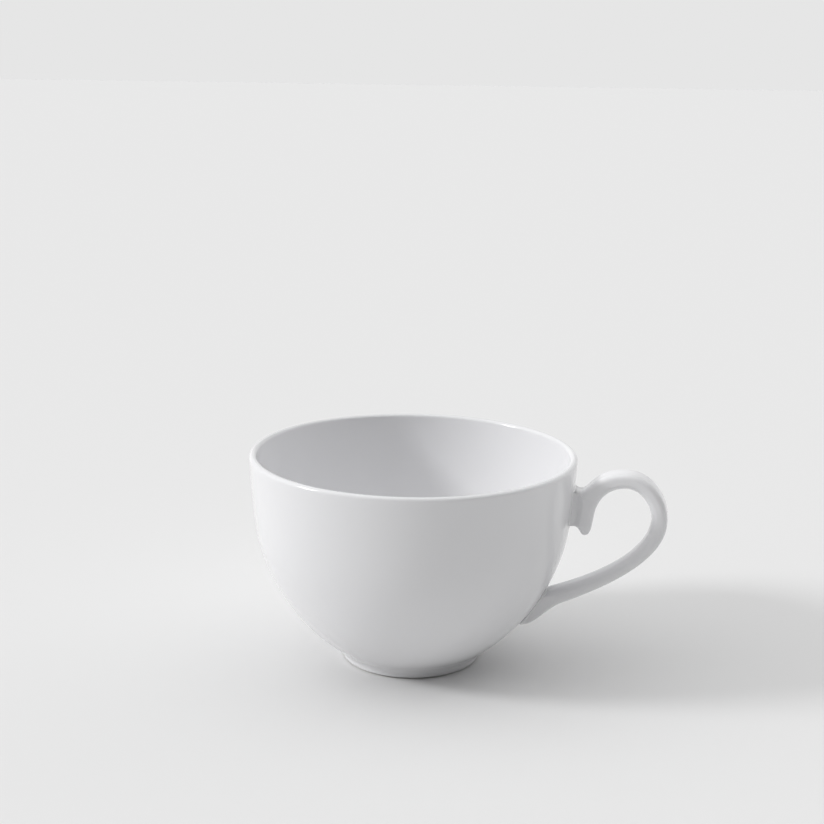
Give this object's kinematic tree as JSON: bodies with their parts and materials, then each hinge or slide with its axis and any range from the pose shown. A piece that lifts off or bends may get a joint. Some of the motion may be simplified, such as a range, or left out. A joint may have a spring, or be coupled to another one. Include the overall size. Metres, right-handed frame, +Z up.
{
  "type": "teacup",
  "caption": "White glazed porcelain teacup with a round bowl on a low foot ring and an ear-shaped strap handle that ends in a hanging spur.",
  "frame": {"origin": "on the cup's axis of revolution, in the plane that the foot ring stands on", "axes": "+Z is up along the cup's axis; +X points from the axis to the handle, so the loop of the handle lies in the plane Y = 0"},
  "size_m": [0.1224, 0.096, 0.063],
  "materials": {
    "clay_body": "fired hard porcelain body under the glaze",
    "bare_foot": "porcelain, glazed on its sides, with a bare ground standing edge",
    "glazed_handle": "white porcelain under a clear gloss glaze",
    "glazed_slip": "fired slip under the same clear gloss glaze",
    "glaze": "clear gloss glaze over white porcelain"
  },
  "bodies": {
    "root": {"bowl": "clay_body", "foot_ring": "bare_foot", "handle": "glazed_handle", "upper_slip_joint": "glazed_slip", "lower_slip_joint": "glazed_slip", "outer_glaze": "glaze", "inner_glaze": "glaze"}
  },
  "joints": []
}
